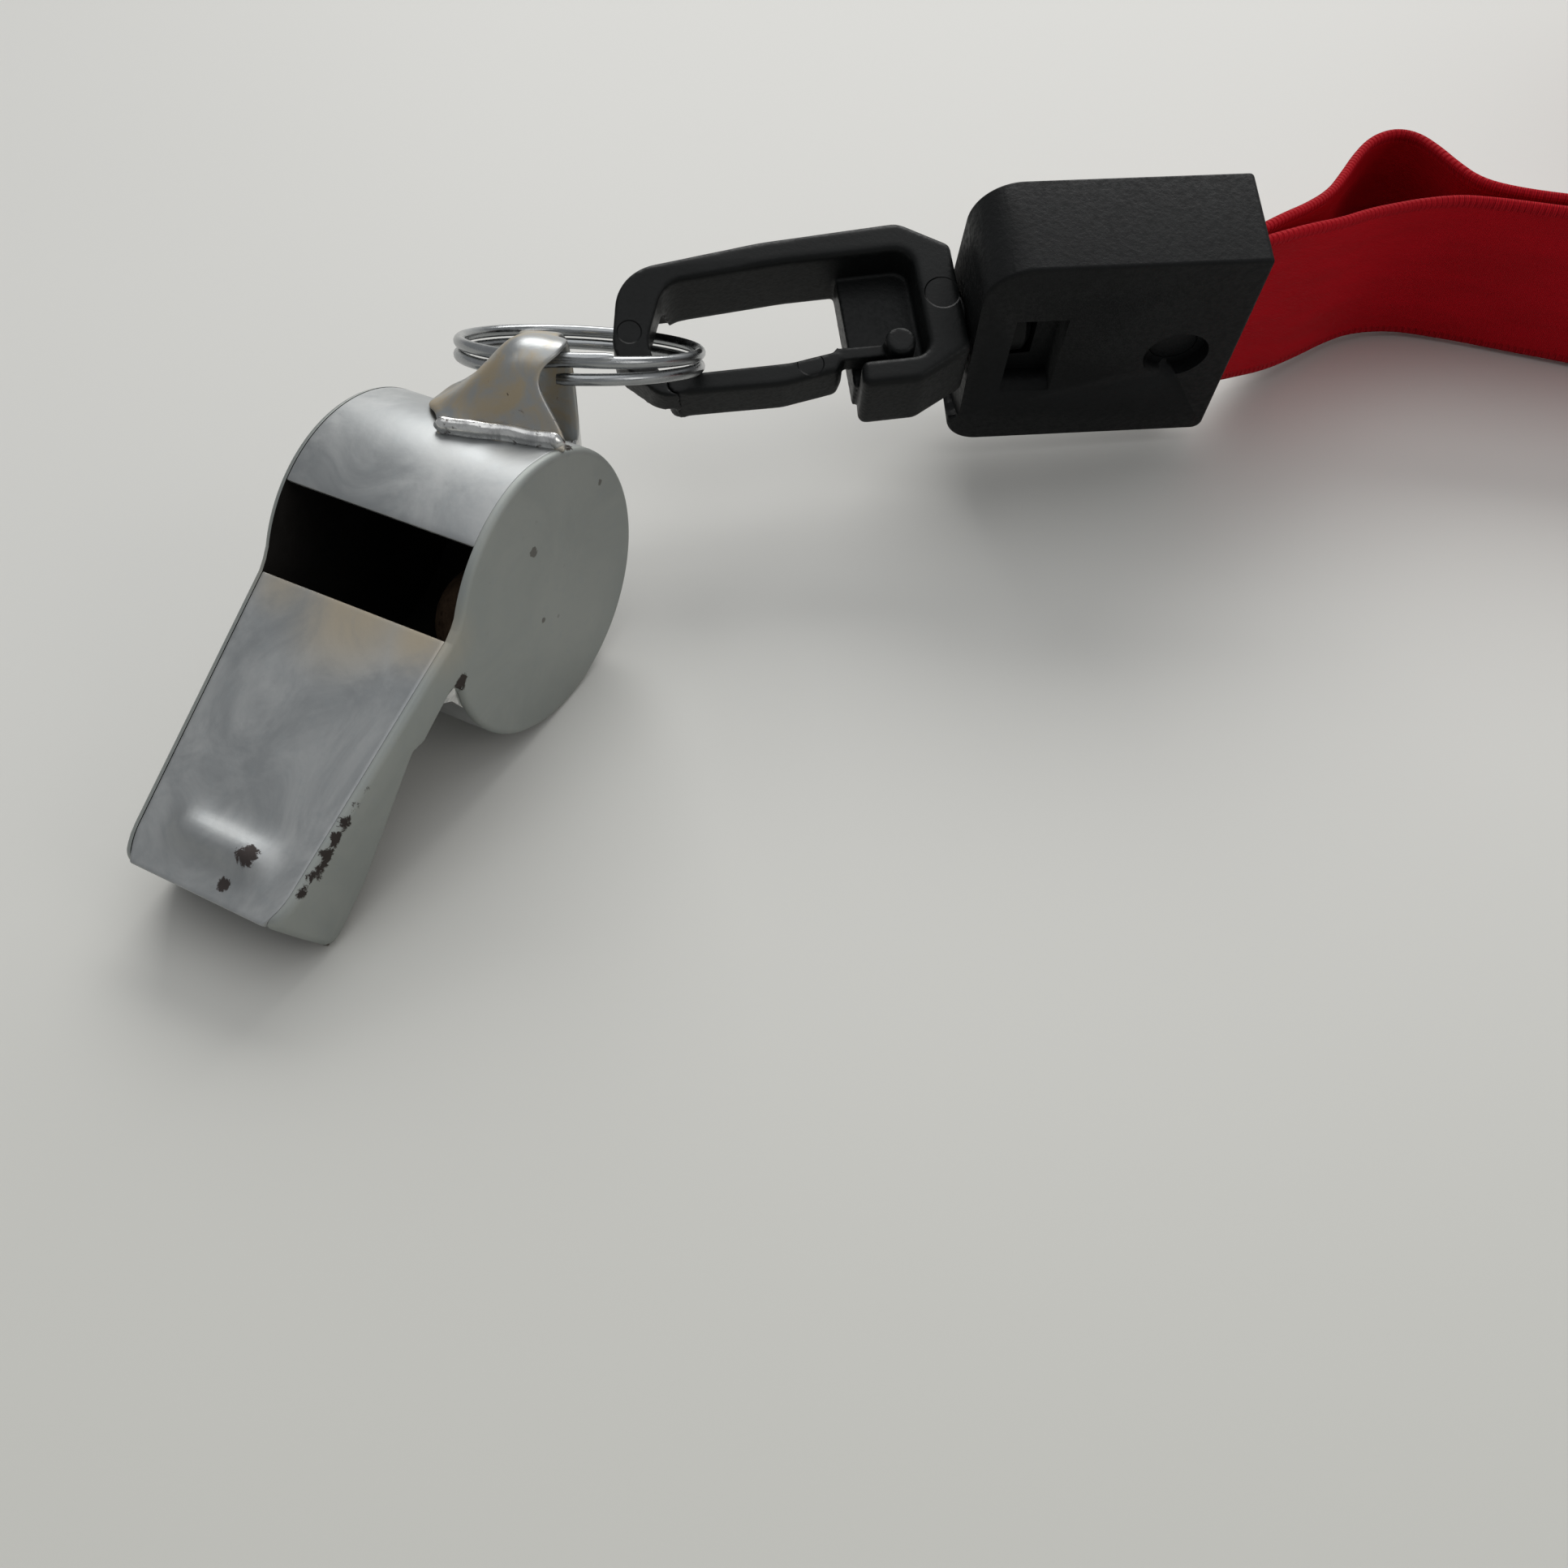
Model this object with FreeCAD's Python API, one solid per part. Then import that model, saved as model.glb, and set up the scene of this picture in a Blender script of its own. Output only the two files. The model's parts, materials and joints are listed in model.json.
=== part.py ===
"""Pea whistle on a split ring, snap hook and ribbon lanyard.

Millimetres, +Z up. The whistle lies on its mouthpiece tip and its barrel; +Y runs from the mouthpiece to the
lanyard, +X is the whistle's right cheek. The origin is under the middle of the hard parts, on the table.
"""
import FreeCAD, Part
import math
import os

V = FreeCAD.Vector
os.makedirs("parts", exist_ok=True)

# ---------------------------------------------------------------- driving dimensions
BARREL_POINT = V(-19.35, -15.17, 0)   # where the barrel touches the table

# whistle: sheet brass
SHEET = 0.6
BARREL_R = 11.75
BODY_W = 18.6            # over the two cheeks
LIP_ANGLE = 56.3         # upper lip of the window, degrees above the mouthpiece direction
BAND_END_ANGLE = -4.0    # where the band meets the throat plate
PLATE_REAR = (11.5, 16.4)   # rear edge of the mouthpiece's top plate: forward, up
PLATE_SLOPE = 24.6       # downward slope of the top plate, degrees
PLATE_LEN = 23.8
TIP_W = 15.2
TAPER_START = 10.3       # forward distance where the sides begin to draw in
TAPER_END = 33.1
TOOTH_AT = 19.8          # tooth ridge, along the plate
TOOTH_LEN = 9.0
TOOTH_R = 1.5
TOOTH_SINK = 0.3         # how far the ridge's axis lies under the plate's surface
PEA_R = 5.2
PEA_GAP = 0.25
PEA_X = 3.2              # it rests against the right cheek's side of the chamber

# bail: a bent strip, its tunnel turned a little from the whistle's width
BAIL_SKEW = 20.7         # degrees
BAIL_SHEET = 0.7
BAIL_LEFT, BAIL_RIGHT = 0.4, 9.6    # along the tunnel, from the barrel's centre plane

# split ring: two turns of round wire
RING_R = 10.06
WIRE_R = 0.5
TURN_GAP = 0.06
RING_AT = V(-0.13, 20.35, 18.86)
RING_ACROSS = V(0.856, 0.503, -0.120)    # in the ring's plane, along the bail's tunnel
RING_AWAY = V(-0.499, 0.742, -0.448)     # in the ring's plane, away from the bail

# snap hook: length runs from the bend (negative) to the swivel face at 0
HOOK_AT = V(24.263, 43.504, 15.438)
HOOK_LONG = V(0.800, 0.600, -0.008)
HOOK_ACROSS = V(-0.549, 0.738, 0.392)
HOOK_T = 6.86
GATE_T = 4.14
GATE_HINGE = (-25.3, -4.75)
GATE_HINGE_R = 1.07
FLEX_GAP = 0.05
LATCH_AT = (-6.0, -3.7)
LATCH_R = 1.35

# swivel stud
STUD_R = 1.9
STUD_BORE_R = 2.3
HEAD_R = 3.2
HEAD_FROM, HEAD_TO = 3.0, 6.2
HOOK_GAP = 0.35          # between the hook's face or the stud's head and the case
FACE_R = 9.4

# clamp housing
CASE_AT = V(29.66, 37.06, 25.00)         # upper front corner at the hook's end
CASE_LONG = V(0.834, 0.551, -0.040)
CASE_DOWN = V(-0.212, 0.251, -0.945)
CASE_L, CASE_H, CASE_T = 23.9, 23.7, 9.4
CASE_SPLIT = 4.9         # front half's depth
CASE_EDGE_R = 0.35
WINDOW = (3.4, 6.55, 4.6, 9.85)          # from the left, from the top, wide, high
PEG_AT = (18.7, 12.1)
PEG_HOLE_R, PEG_R = 2.9, 2.15
PEG_RECESS = 1.4

# ribbon
RIBBON_W = 20.0
RIBBON_T = 1.0
RIBBON_TOP = 1.0         # ribbon's upper edge below the case's upper edge
FRONT_LAYER, BACK_LAYER = 4.1, 5.3       # middle of each layer, from the case's front face
COIL_AT = V(125.0, 138.6, 0)
COIL_R = 53.2


# ---------------------------------------------------------------- helpers
def frame_matrix(at, x_dir, y_dir, z_dir):
    m = FreeCAD.Matrix()
    for column, axis in enumerate((x_dir, y_dir, z_dir)):
        for row, value in enumerate((axis.x, axis.y, axis.z)):
            setattr(m, "A%d%d" % (row + 1, column + 1), value)
    m.A14, m.A24, m.A34 = at.x, at.y, at.z
    return m


def right_handed(x_dir, y_like):
    """Unit axes with x along x_dir and y as near to y_like as a right angle allows."""
    x = V(x_dir).normalize()
    z = x.cross(y_like).normalize()
    return x, z.cross(x), z


def placed(shape, at, x_dir, y_dir, z_dir):
    """A shape drawn in its own axes, carried to its place on the object."""
    x, y, z = right_handed(x_dir, y_dir)
    if z.dot(z_dir) < 0:
        raise ValueError("axes are left-handed")
    placement = FreeCAD.Placement(frame_matrix(at + BARREL_POINT, x, y, z))
    out = shape.copy()
    out.Placement = placement.multiply(out.Placement)
    return out


def export(name, shape):
    if not shape.isValid():
        raise ValueError(name + " is not a valid shape")
    shape.exportStep("parts/%s.step" % name)


def face(points):
    """Flat face through 3-D points."""
    return Part.Face(Part.makePolygon(list(points) + [points[0]]))


def prism_x(points_yz, x_from, x_to):
    """Outline of (forward, up) points, as the whistle's side view, extruded across its width."""
    flat = face([V(x_from, -a, z) for a, z in points_yz])
    return flat.extrude(V(x_to - x_from, 0, 0))


def offset_line(points, distance):
    """The polyline shifted to its right-hand side by distance, with mitred corners."""
    out = []
    for i, (a, z) in enumerate(points):
        before = points[max(i - 1, 0)]
        after = points[min(i + 1, len(points) - 1)]
        ahead = (after[0] - a, after[1] - z) if i < len(points) - 1 else (a - before[0], z - before[1])
        behind = (a - before[0], z - before[1]) if i else ahead
        n1 = unit((ahead[1], -ahead[0]))
        n2 = unit((behind[1], -behind[0]))
        mid = unit((n1[0] + n2[0], n1[1] + n2[1]))
        reach = distance / (mid[0] * n1[0] + mid[1] * n1[1])
        out.append((a + mid[0] * reach, z + mid[1] * reach))
    return out


def unit(v):
    length = math.hypot(*v)
    return v[0] / length, v[1] / length


def strip(points, thickness):
    """Closed outline of a bent sheet whose outer face follows the points."""
    return list(points) + offset_line(points, thickness)[::-1]


def rounded_outline(points, plane=lambda a, b: V(a, b, 0)):
    """Closed wire through (x, y, radius) corners, each rounded by an arc of its radius."""
    edges, ends = [], []
    count = len(points)
    for i, (x, y, radius) in enumerate(points):
        here = V(x, y, 0)
        before = V(points[i - 1][0], points[i - 1][1], 0)
        after = V(points[(i + 1) % count][0], points[(i + 1) % count][1], 0)
        a, b = (before - here).normalize(), (after - here).normalize()
        half = a.getAngle(b) / 2
        back = radius / math.tan(half)
        middle = (a + b).normalize() * (radius / math.sin(half) - radius)
        ends.append((here + a * back, here + middle, here + b * back))
    for i in range(count):
        first, middle, last = ends[i]
        following = ends[(i + 1) % count][0]
        if (first - last).Length > 1e-6:
            edges.append(Part.Arc(plane(first.x, first.y), plane(middle.x, middle.y),
                                  plane(last.x, last.y)).toShape())
        edges.append(Part.LineSegment(plane(last.x, last.y), plane(following.x, following.y)).toShape())
    return Part.Wire(edges)


def slab(points, low, high):
    """Rounded outline in the first two axes, extruded along the third."""
    base = Part.Face(rounded_outline(points, lambda a, b: V(a, b, low)))
    return base.extrude(V(0, 0, high - low))


def box(x0, x1, y0, y1, z0, z1):
    return Part.makeBox(x1 - x0, y1 - y0, z1 - z0, V(x0, y0, z0))


def edges_at(shape, level, axis="z"):
    """Edges that lie wholly at a height."""
    found = []
    for edge in shape.Edges:
        ends = [getattr(v.Point, axis) for v in edge.Vertexes] + [getattr(edge.CenterOfMass, axis)]
        if all(abs(e - level) < 1e-4 for e in ends):
            found.append(edge)
    return found


# ---------------------------------------------------------------- whistle
def along_plate(s, depth):
    """Point (forward, up) a distance along the top plate and a depth under its outer face."""
    slope = math.radians(PLATE_SLOPE)
    return (PLATE_REAR[0] + s * math.cos(slope) - depth * math.sin(slope),
            PLATE_REAR[1] - s * math.sin(slope) - depth * math.cos(slope))


TIP_LOW = (29.5, 0.0)
FLOOR_LINE = [TIP_LOW, along_plate(18.0, 6.6), along_plate(8.0, 3.2)]
THROAT_LINE = [along_plate(6.9, 3.7), along_plate(1.9, 2.9), (11.6, 12.75), (11.8, 12.1)]


def circle_point(angle, radius=BARREL_R):
    return (radius * math.cos(math.radians(angle)), BARREL_R + radius * math.sin(math.radians(angle)))


def width_wedge(inset):
    """Everything between the two mouthpiece sides, each moved inwards by inset."""
    rear, tip = BODY_W / 2 - inset, TIP_W / 2 - inset
    plan = [(-rear, 6.0), (-rear, TAPER_START), (-tip, TAPER_END), (-tip, TAPER_END + 2),
            (tip, TAPER_END + 2), (tip, TAPER_END), (rear, TAPER_START), (rear, 6.0)]
    return face([V(x, -a, -1) for x, a in plan]).extrude(V(0, 0, 30))


def cheek_side():
    """Side view of the mouthpiece part of a cheek."""
    return [circle_point(30), (10.95, 16.75), along_plate(0, 0), along_plate(PLATE_LEN, 0), TIP_LOW,
            along_plate(18.0, 6.6), along_plate(8.0, 3.2), along_plate(6.9, 3.7), along_plate(1.9, 2.9),
            (11.6, 12.75), (8.0, 12.0)]


def cheek(sign):
    disc = Part.makeCylinder(BARREL_R, SHEET, V(sign * (BODY_W / 2), 0, BARREL_R), V(-sign, 0, 0))
    side = prism_x(cheek_side(), 0, sign * BODY_W).common(width_wedge(0)).cut(width_wedge(SHEET))
    return disc.fuse(side).removeSplitter()


def band():
    outer = Part.makeCylinder(BARREL_R, BODY_W - 2 * SHEET, V(-BODY_W / 2 + SHEET, 0, BARREL_R), V(1, 0, 0))
    inner = Part.makeCylinder(BARREL_R - SHEET, BODY_W, V(-BODY_W / 2, 0, BARREL_R), V(1, 0, 0))
    reach = 2 * BARREL_R
    mouth = [circle_point(0, 0)] + [circle_point(a, reach)
                                    for a in (BAND_END_ANGLE, (BAND_END_ANGLE + LIP_ANGLE) / 2, LIP_ANGLE)]
    return outer.cut(inner).cut(prism_x(mouth, -BODY_W, BODY_W))


def mouth_plate(outline):
    return prism_x(outline, -BODY_W / 2, BODY_W / 2).common(width_wedge(SHEET))


def mouthpiece_top():
    plate = mouth_plate(strip([along_plate(0, 0), along_plate(PLATE_LEN, 0)], SHEET))
    a, z = along_plate(TOOTH_AT, TOOTH_SINK)
    half = TOOTH_LEN / 2 - TOOTH_R
    ridge = Part.makeCylinder(TOOTH_R, 2 * half, V(-half, -a, z), V(1, 0, 0))
    for x in (-half, half):
        ridge = ridge.fuse(Part.makeSphere(TOOTH_R, V(x, -a, z)))
    below = prism_x([along_plate(15, SHEET), along_plate(15, 4), along_plate(23, 4), along_plate(23, SHEET)],
                    -BODY_W, BODY_W)
    return plate.fuse(ridge.cut(below)).removeSplitter()


def mouthpiece_floor():
    return mouth_plate(strip(FLOOR_LINE, SHEET))


def throat_plate():
    return mouth_plate(strip(THROAT_LINE, SHEET))


def throat_solder():
    """Solder run in the corner where the throat plate meets the band."""
    a, z = circle_point(BAND_END_ANGLE)
    bead = prism_x([(a - 0.2, z - 1.5), (a - 0.1, z), (11.75, 12.1), (13.6, 11.85), (12.5, 11.1)],
                   -BODY_W / 2 + SHEET, BODY_W / 2 - SHEET)
    return bead.cut(Part.makeCylinder(BARREL_R, BODY_W, V(-BODY_W / 2, 0, BARREL_R), V(1, 0, 0)))


def pea():
    return Part.makeSphere(PEA_R, V(PEA_X, 0, SHEET + PEA_GAP + PEA_R))


def whistle_placed(shape):
    return placed(shape, V(0, 0, 0), V(1, 0, 0), V(0, 1, 0), V(0, 0, 1))


# ---------------------------------------------------------------- bail
# the strip's side view, as (distance behind the barrel's top, up), front foot first
BAIL_LINE = [(1.4, 19.5), (2.3, 22.6), (4.3, 27.6), (5.2, 28.5), (6.6, 28.7), (8.2, 28.0),
             (11.2, 26.2), (12.4, 24.6), (12.7, 22.3), (12.1, 19.0), (9.6, 14.0)]


def barrel_solid():
    return Part.makeCylinder(BARREL_R, 3 * BODY_W, V(-1.5 * BODY_W, 0, BARREL_R), V(1, 0, 0))


def bail_placed(outline, left, right):
    """Outline of (behind, up) points extruded along the tunnel and turned by the skew."""
    solid = face([V(left, b, z) for b, z in outline]).extrude(V(right - left, 0, 0))
    return solid.rotate(V(0, 0, 0), V(0, 0, 1), BAIL_SKEW)


def bail():
    strip_solid = bail_placed(strip(BAIL_LINE, BAIL_SHEET), BAIL_LEFT, BAIL_RIGHT)
    left_slope = face([V(-9, -3, 23.0), V(BAIL_LEFT, -3, 23.0), V(6.6, -3, 29.4), V(-9, -3, 29.4)])
    left_cut = left_slope.extrude(V(0, 20, 0)).rotate(V(0, 0, 0), V(0, 0, 1), BAIL_SKEW)
    # the rear sheet narrows where the ring passes out on either side
    rear_cut = box(8.6, 13, 9.4, 15, 10, 26).fuse(box(-9, 4.8, 8.6, 15, 20.4, 26.4))
    rear_cut = rear_cut.rotate(V(0, 0, 0), V(0, 0, 1), BAIL_SKEW)
    return strip_solid.cut(left_cut).cut(rear_cut).cut(barrel_solid())


def bail_solder(outline, left, right):
    bead = bail_placed(outline, left, right).cut(bail().fuse(barrel_solid()))
    return max(bead.Solids, key=lambda solid: solid.Volume)


FRONT_BEAD = [(0.5, 21.5), (0.9, 23.6), (2.6, 24.3), (2.9, 21.5)]
REAR_BEAD = [(9.4, 13.0), (9.8, 17.6), (12.4, 17.4), (11.6, 12.4)]


# ---------------------------------------------------------------- split ring
def split_ring():
    """Two flat turns of wire, one above the other, joined by a short crossover."""
    lift = WIRE_R + TURN_GAP / 2
    turn_end, turn_start = 345.0, 15.0

    def at(angle, height):
        return V(RING_R * math.cos(math.radians(angle)), RING_R * math.sin(math.radians(angle)), height)

    upper = Part.makeTorus(RING_R, WIRE_R, V(0, 0, lift), V(0, 0, 1), 0, 360, turn_end)
    lower = Part.makeTorus(RING_R, WIRE_R, V(0, 0, -lift), V(0, 0, 1), 0, 360, turn_end)
    lower.rotate(V(0, 0, 0), V(0, 0, 1), turn_start)
    a, b = at(turn_end, lift), at(360 + turn_start, -lift)
    link = Part.makeCylinder(WIRE_R, (b - a).Length, a, b - a)
    knees = Part.makeSphere(WIRE_R, a).fuse(Part.makeSphere(WIRE_R, b))
    return upper.fuse([link, knees, lower])


# ---------------------------------------------------------------- snap hook
OUTER = [(-30.9, -1.4, 3.6), (-29.4, 6.2, 4.4), (-16.6, 7.75, 30.0), (-4.3, 8.3, 2.2), (0.0, 5.5, 0.8),
         (0.0, -5.2, 0.8), (-4.8, -7.7, 1.5), (-9.9, -7.7, 0.7), (-9.7, -5.3, 0.7), (-3.6, -5.3, 1.4),
         (-3.6, 5.45, 1.6), (-15.0, 5.35, 30.0), (-25.6, 4.6, 2.6), (-27.7, -0.6, 3.0), (-26.9, -3.6, 0.6),
         (-23.2, -3.6, 0.8), (-23.2, -6.0, 0.8), (-27.2, -5.9, 2.6)]


def hook_body():
    frame = slab(OUTER, -HOOK_T / 2, HOOK_T / 2)
    frame = frame.makeFillet(0.6, edges_at(frame, HOOK_T / 2) + edges_at(frame, -HOOK_T / 2))
    # the bend thins down to the gate's thickness
    over = HOOK_T / 2 + 0.1
    thick, thin = HOOK_T / 2, GATE_T / 2
    profile = [(6.0, thick), (6.0, over), (-8.0, over), (-8.0, thin), (-3.0, thin)]
    for side in (1, -1):
        wedge = face([V(-33, v, side * t) for v, t in profile]).extrude(V(15, 0, 0))
        frame = frame.cut(wedge)
    web = box(-10.1, -3.3, -5.6, 5.8, -HOOK_T / 2, -0.1)
    socket = Part.makeCylinder(GATE_HINGE_R + FLEX_GAP, 2 * HOOK_T, V(*GATE_HINGE, -HOOK_T))
    u, v = GATE_HINGE
    room = face([V(u - 0.4, v + 1.9, -HOOK_T), V(u, v, -HOOK_T), V(u - 0.1, v - 2.3, -HOOK_T),
                 V(-20, v - 2.3, -HOOK_T), V(-20, v + 1.9, -HOOK_T)])
    gate_room = room.extrude(V(0, 0, 2 * HOOK_T))
    stud_hole = Part.makeCylinder(STUD_R, 2.6, V(-2.6, 0, 0), V(1, 0, 0))
    # the bend's back is relieved where the ring passes behind it
    relief = face([V(-33, -8, -2.5), V(-26.0, -8, -0.3), V(-24.4, -8, -HOOK_T), V(-33, -8, -HOOK_T)])
    relief = relief.extrude(V(0, 12.7, 0))
    return frame.fuse(web).cut(socket).cut(gate_room).cut(stud_hole).cut(relief).removeSplitter()


GATE_OUTLINE = [(-25.3, -3.88, 0.5), (-25.3, -5.82, 0.5), (-16.5, -6.0, 6.0), (-11.6, -5.2, 0.9),
                (-10.4, -3.05, 0.6), (-15.5, -3.85, 8.0)]


def gate():
    arm = slab(GATE_OUTLINE, -GATE_T / 2, GATE_T / 2)
    arm = arm.makeFillet(0.4, edges_at(arm, GATE_T / 2) + edges_at(arm, -GATE_T / 2))
    root = Part.makeCylinder(GATE_HINGE_R, GATE_T, V(*GATE_HINGE, -GATE_T / 2))
    tongue = slab([(-11.6, -4.2, 0.1), (-6.0, -4.3, 0.1), (-6.0, -3.1, 0.1), (-11.6, -2.95, 0.1)],
                  0.2, GATE_T / 2 - 0.1)
    latch = Part.makeCylinder(LATCH_R, HOOK_T / 2 - 0.2, V(*LATCH_AT, 0.2))
    latch = latch.makeChamfer(0.25, edges_at(latch, HOOK_T / 2))
    return root.fuse([arm, tongue, latch]).removeSplitter()


def swivel_stud():
    """Round stud fixed in the hook's block, with a retaining head inside the case."""
    shank = Part.makeCylinder(STUD_R, 2.6 + HEAD_FROM + 0.1, V(-2.6, 0, 0), V(1, 0, 0))
    head = Part.makeCylinder(HEAD_R, HEAD_TO - HEAD_FROM, V(HEAD_FROM, 0, 0), V(1, 0, 0))
    head = head.makeChamfer(0.6, edges_at(head, HEAD_TO, "x"))
    return shank.fuse(head).removeSplitter()


def hook_placed(shape):
    normal = V(HOOK_LONG).cross(HOOK_ACROSS)
    return placed(shape, HOOK_AT, HOOK_LONG, HOOK_ACROSS, normal)


# ---------------------------------------------------------------- clamp case
def case_block():
    outline = [(0.0, 0.0, 4.4), (CASE_L, 0.0, 0.5), (CASE_L + 0.3, CASE_H, 1.0), (-0.9, CASE_H, 3.2)]
    block = slab(outline, 0, CASE_T)
    return block.makeFillet(CASE_EDGE_R, edges_at(block, 0) + edges_at(block, CASE_T))


def case_hollow():
    """Ribbon slot, window and the peg's stepped hole."""
    slot = box(11.0, CASE_L + 3, 0.85, 21.6, FRONT_LAYER - 0.7, BACK_LAYER + 0.7)
    window = box(WINDOW[0], WINDOW[0] + WINDOW[2], WINDOW[1], WINDOW[1] + WINDOW[3], -1, 2.5)
    counterbore = Part.makeCylinder(PEG_HOLE_R, PEG_RECESS + 1, V(PEG_AT[0], PEG_AT[1], -1))
    peg_hole = Part.makeCylinder(PEG_R, CASE_T, V(PEG_AT[0], PEG_AT[1], -1))
    return window.fuse([slot, counterbore, peg_hole])


def swivel_room():
    """What the turning hook needs, on the swivel's own axis: a flat face, a loose bore and a chamber."""
    face_room = Part.makeCylinder(FACE_R, 4.0, V(HOOK_GAP - 4.0, 0, 0), V(1, 0, 0))
    bore = Part.makeCylinder(STUD_BORE_R, HEAD_FROM + 1, V(-0.5, 0, 0), V(1, 0, 0))
    chamber = Part.makeCylinder(HEAD_R + HOOK_GAP, HEAD_TO - HEAD_FROM + 2 * HOOK_GAP,
                                V(HEAD_FROM - HOOK_GAP, 0, 0), V(1, 0, 0))
    return hook_placed(face_room.fuse([bore, chamber]))


def case_placed(shape):
    normal = V(CASE_LONG).cross(CASE_DOWN)
    return placed(shape, CASE_AT, CASE_LONG, CASE_DOWN, normal)


def case_half(near, far):
    half = case_block().common(box(-5, CASE_L + 5, -5, CASE_H + 5, near, far)).cut(case_hollow())
    return case_placed(half).cut(swivel_room())


def clamp_peg():
    return case_placed(Part.makeCylinder(PEG_R, CASE_T - 1 - PEG_RECESS, V(*PEG_AT, PEG_RECESS)))


def ribbon_end(layer):
    strip_end = box(12.0, CASE_L - 0.4, RIBBON_TOP, RIBBON_TOP + RIBBON_W,
                    layer - RIBBON_T / 2, layer + RIBBON_T / 2)
    hole = Part.makeCylinder(PEG_R + 0.05, 3, V(PEG_AT[0], PEG_AT[1], layer - 1.5))
    return case_placed(strip_end.cut(hole))


# ---------------------------------------------------------------- ribbon
# each leg's middle line, and how far its upper edge stands forward of its lower one: x, y, z, dx, dy
FRONT_ROUTE = [(45.1, 57.2, 13.6, 4.2, -5.0), (47.3, 61.9, 12.5, 4.9, -3.4), (49.6, 65.9, 11.6, 4.6, -3.6),
               (51.4, 70.0, 11.0, 4.2, -4.4), (53.1, 73.6, 10.5, 4.3, -5.4), (55.0, 76.5, 10.2, 4.1, -6.2),
               (58.2, 79.0, 10.0, 3.4, -6.4), (61.3, 79.9, 9.9, 2.6, -6.4), (64.4, 80.4, 9.9, 2.0, -6.4),
               (68.6, 80.9, 9.9, 1.2, -6.3), (74.3, 81.6, 10.0, 0.6, -6.0), (82.0, 83.1, 10.1, 0.3, -4.0),
               (92.0, 85.3, 10.2, 0.0, -2.0), (104.0, 86.5, 10.3, 0.0, -0.6), (118.0, 86.6, 10.3, 0.0, 0.0)]
BACK_ROUTE = [(44.5, 58.2, 14.0, 4.2, -5.0), (45.4, 61.9, 13.3, 4.4, -4.4), (46.5, 66.3, 12.1, 4.4, -3.8),
              (47.6, 70.9, 11.3, 4.0, -3.8), (47.9, 76.0, 10.8, 3.6, -4.0), (48.1, 80.8, 10.6, 3.3, -4.4),
              (48.9, 84.4, 10.5, 2.8, -4.8), (50.7, 86.8, 10.4, 2.0, -5.0), (53.1, 87.0, 10.4, 1.2, -5.2),
              (55.6, 85.4, 10.4, 0.8, -5.4), (57.9, 83.4, 10.3, 0.9, -5.6), (60.2, 82.1, 10.1, 1.1, -5.9),
              (63.2, 81.9, 10.1, 1.0, -6.2), (68.0, 82.7, 10.0, 0.8, -6.2), (74.2, 83.9, 10.1, 0.5, -5.8),
              (82.0, 86.6, 10.2, 0.2, -4.0), (91.0, 90.6, 10.3, 0.0, -2.0), (101.0, 93.7, 10.3, 0.0, -0.6),
              (113.0, 94.5, 10.3, 0.0, 0.0)]
ARC_STEPS = 3


def arc_path(points):
    """Straight runs joined by tangent arcs, as large as the runs beside each corner allow."""
    edges, radii, here = [], [], points[0]
    for before, corner, after in zip(points, points[1:], points[2:]):
        a, b = before - corner, after - corner
        half_turn = (math.pi - a.getAngle(b)) / 2
        reach = 0.45 * min(a.Length, b.Length)
        a.normalize()
        b.normalize()
        radius = reach / math.tan(half_turn)
        middle = corner + (a + b).normalize() * (radius / math.cos(half_turn) - radius)
        edges.append(Part.LineSegment(here, corner + a * reach).toShape())
        edges.append(Part.Arc(corner + a * reach, middle, corner + b * reach).toShape())
        here = corner + b * reach
        radii.append(radius)
    edges.append(Part.LineSegment(here, points[-1]).toShape())
    return edges, radii


def ribbon_leg(name, route):
    """A flat strip on edge along the route, leaning by each point's lean."""
    points = [V(x, y, z) for x, y, z, _, _ in route]
    leans = [V(dx, dy, math.sqrt(RIBBON_W ** 2 - dx ** 2 - dy ** 2)) for _, _, _, dx, dy in route]
    edges, radii = arc_path(points)
    sections, total = [], 0.0
    for i, edge in enumerate(edges):
        # an even edge is the run after point i/2, an odd one the arc round point (i+1)/2
        steps = ARC_STEPS if i % 2 else 1
        for k in range(steps + (i == len(edges) - 1)):
            t = edge.FirstParameter + (edge.LastParameter - edge.FirstParameter) * k / steps
            at, along = edge.valueAt(t), edge.tangentAt(t)
            sections.append(leg_section(at, along, lean_at(at, points, leans)))
        total += edge.Length
    solid = Part.makeLoft(sections, True, True)
    print("%s: radii %s mm, length %.1f mm, volume / (section x length) %.3f"
          % (name, " ".join("%.0f" % r for r in radii), total,
             solid.Volume / (RIBBON_T * RIBBON_W * total)))
    return solid


def lean_at(at, points, leans):
    """The lean between the two route points that are nearest to a place on the path."""
    near = sorted(range(len(points)), key=lambda i: (points[i] - at).Length)[:2]
    reach = [(points[i] - at).Length for i in near]
    lean = (leans[near[0]] * reach[1] + leans[near[1]] * reach[0]) * (1 / (reach[0] + reach[1]))
    return lean.normalize() * RIBBON_W


def leg_section(at, along, lean):
    side = along.cross(lean).normalize() * (RIBBON_T / 2)
    half = lean * 0.5
    corners = [at + half + side, at + half - side, at - half - side, at - half + side]
    return Part.makePolygon(corners + [corners[0]])


def ribbon_coil():
    return Part.makeCylinder(COIL_R, RIBBON_W + 0.4, COIL_AT + V(0, 0, 0.1))


def lanyard_placed(shape):
    return placed(shape, V(0, 0, 0), V(1, 0, 0), V(0, 1, 0), V(0, 0, 1))


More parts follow.
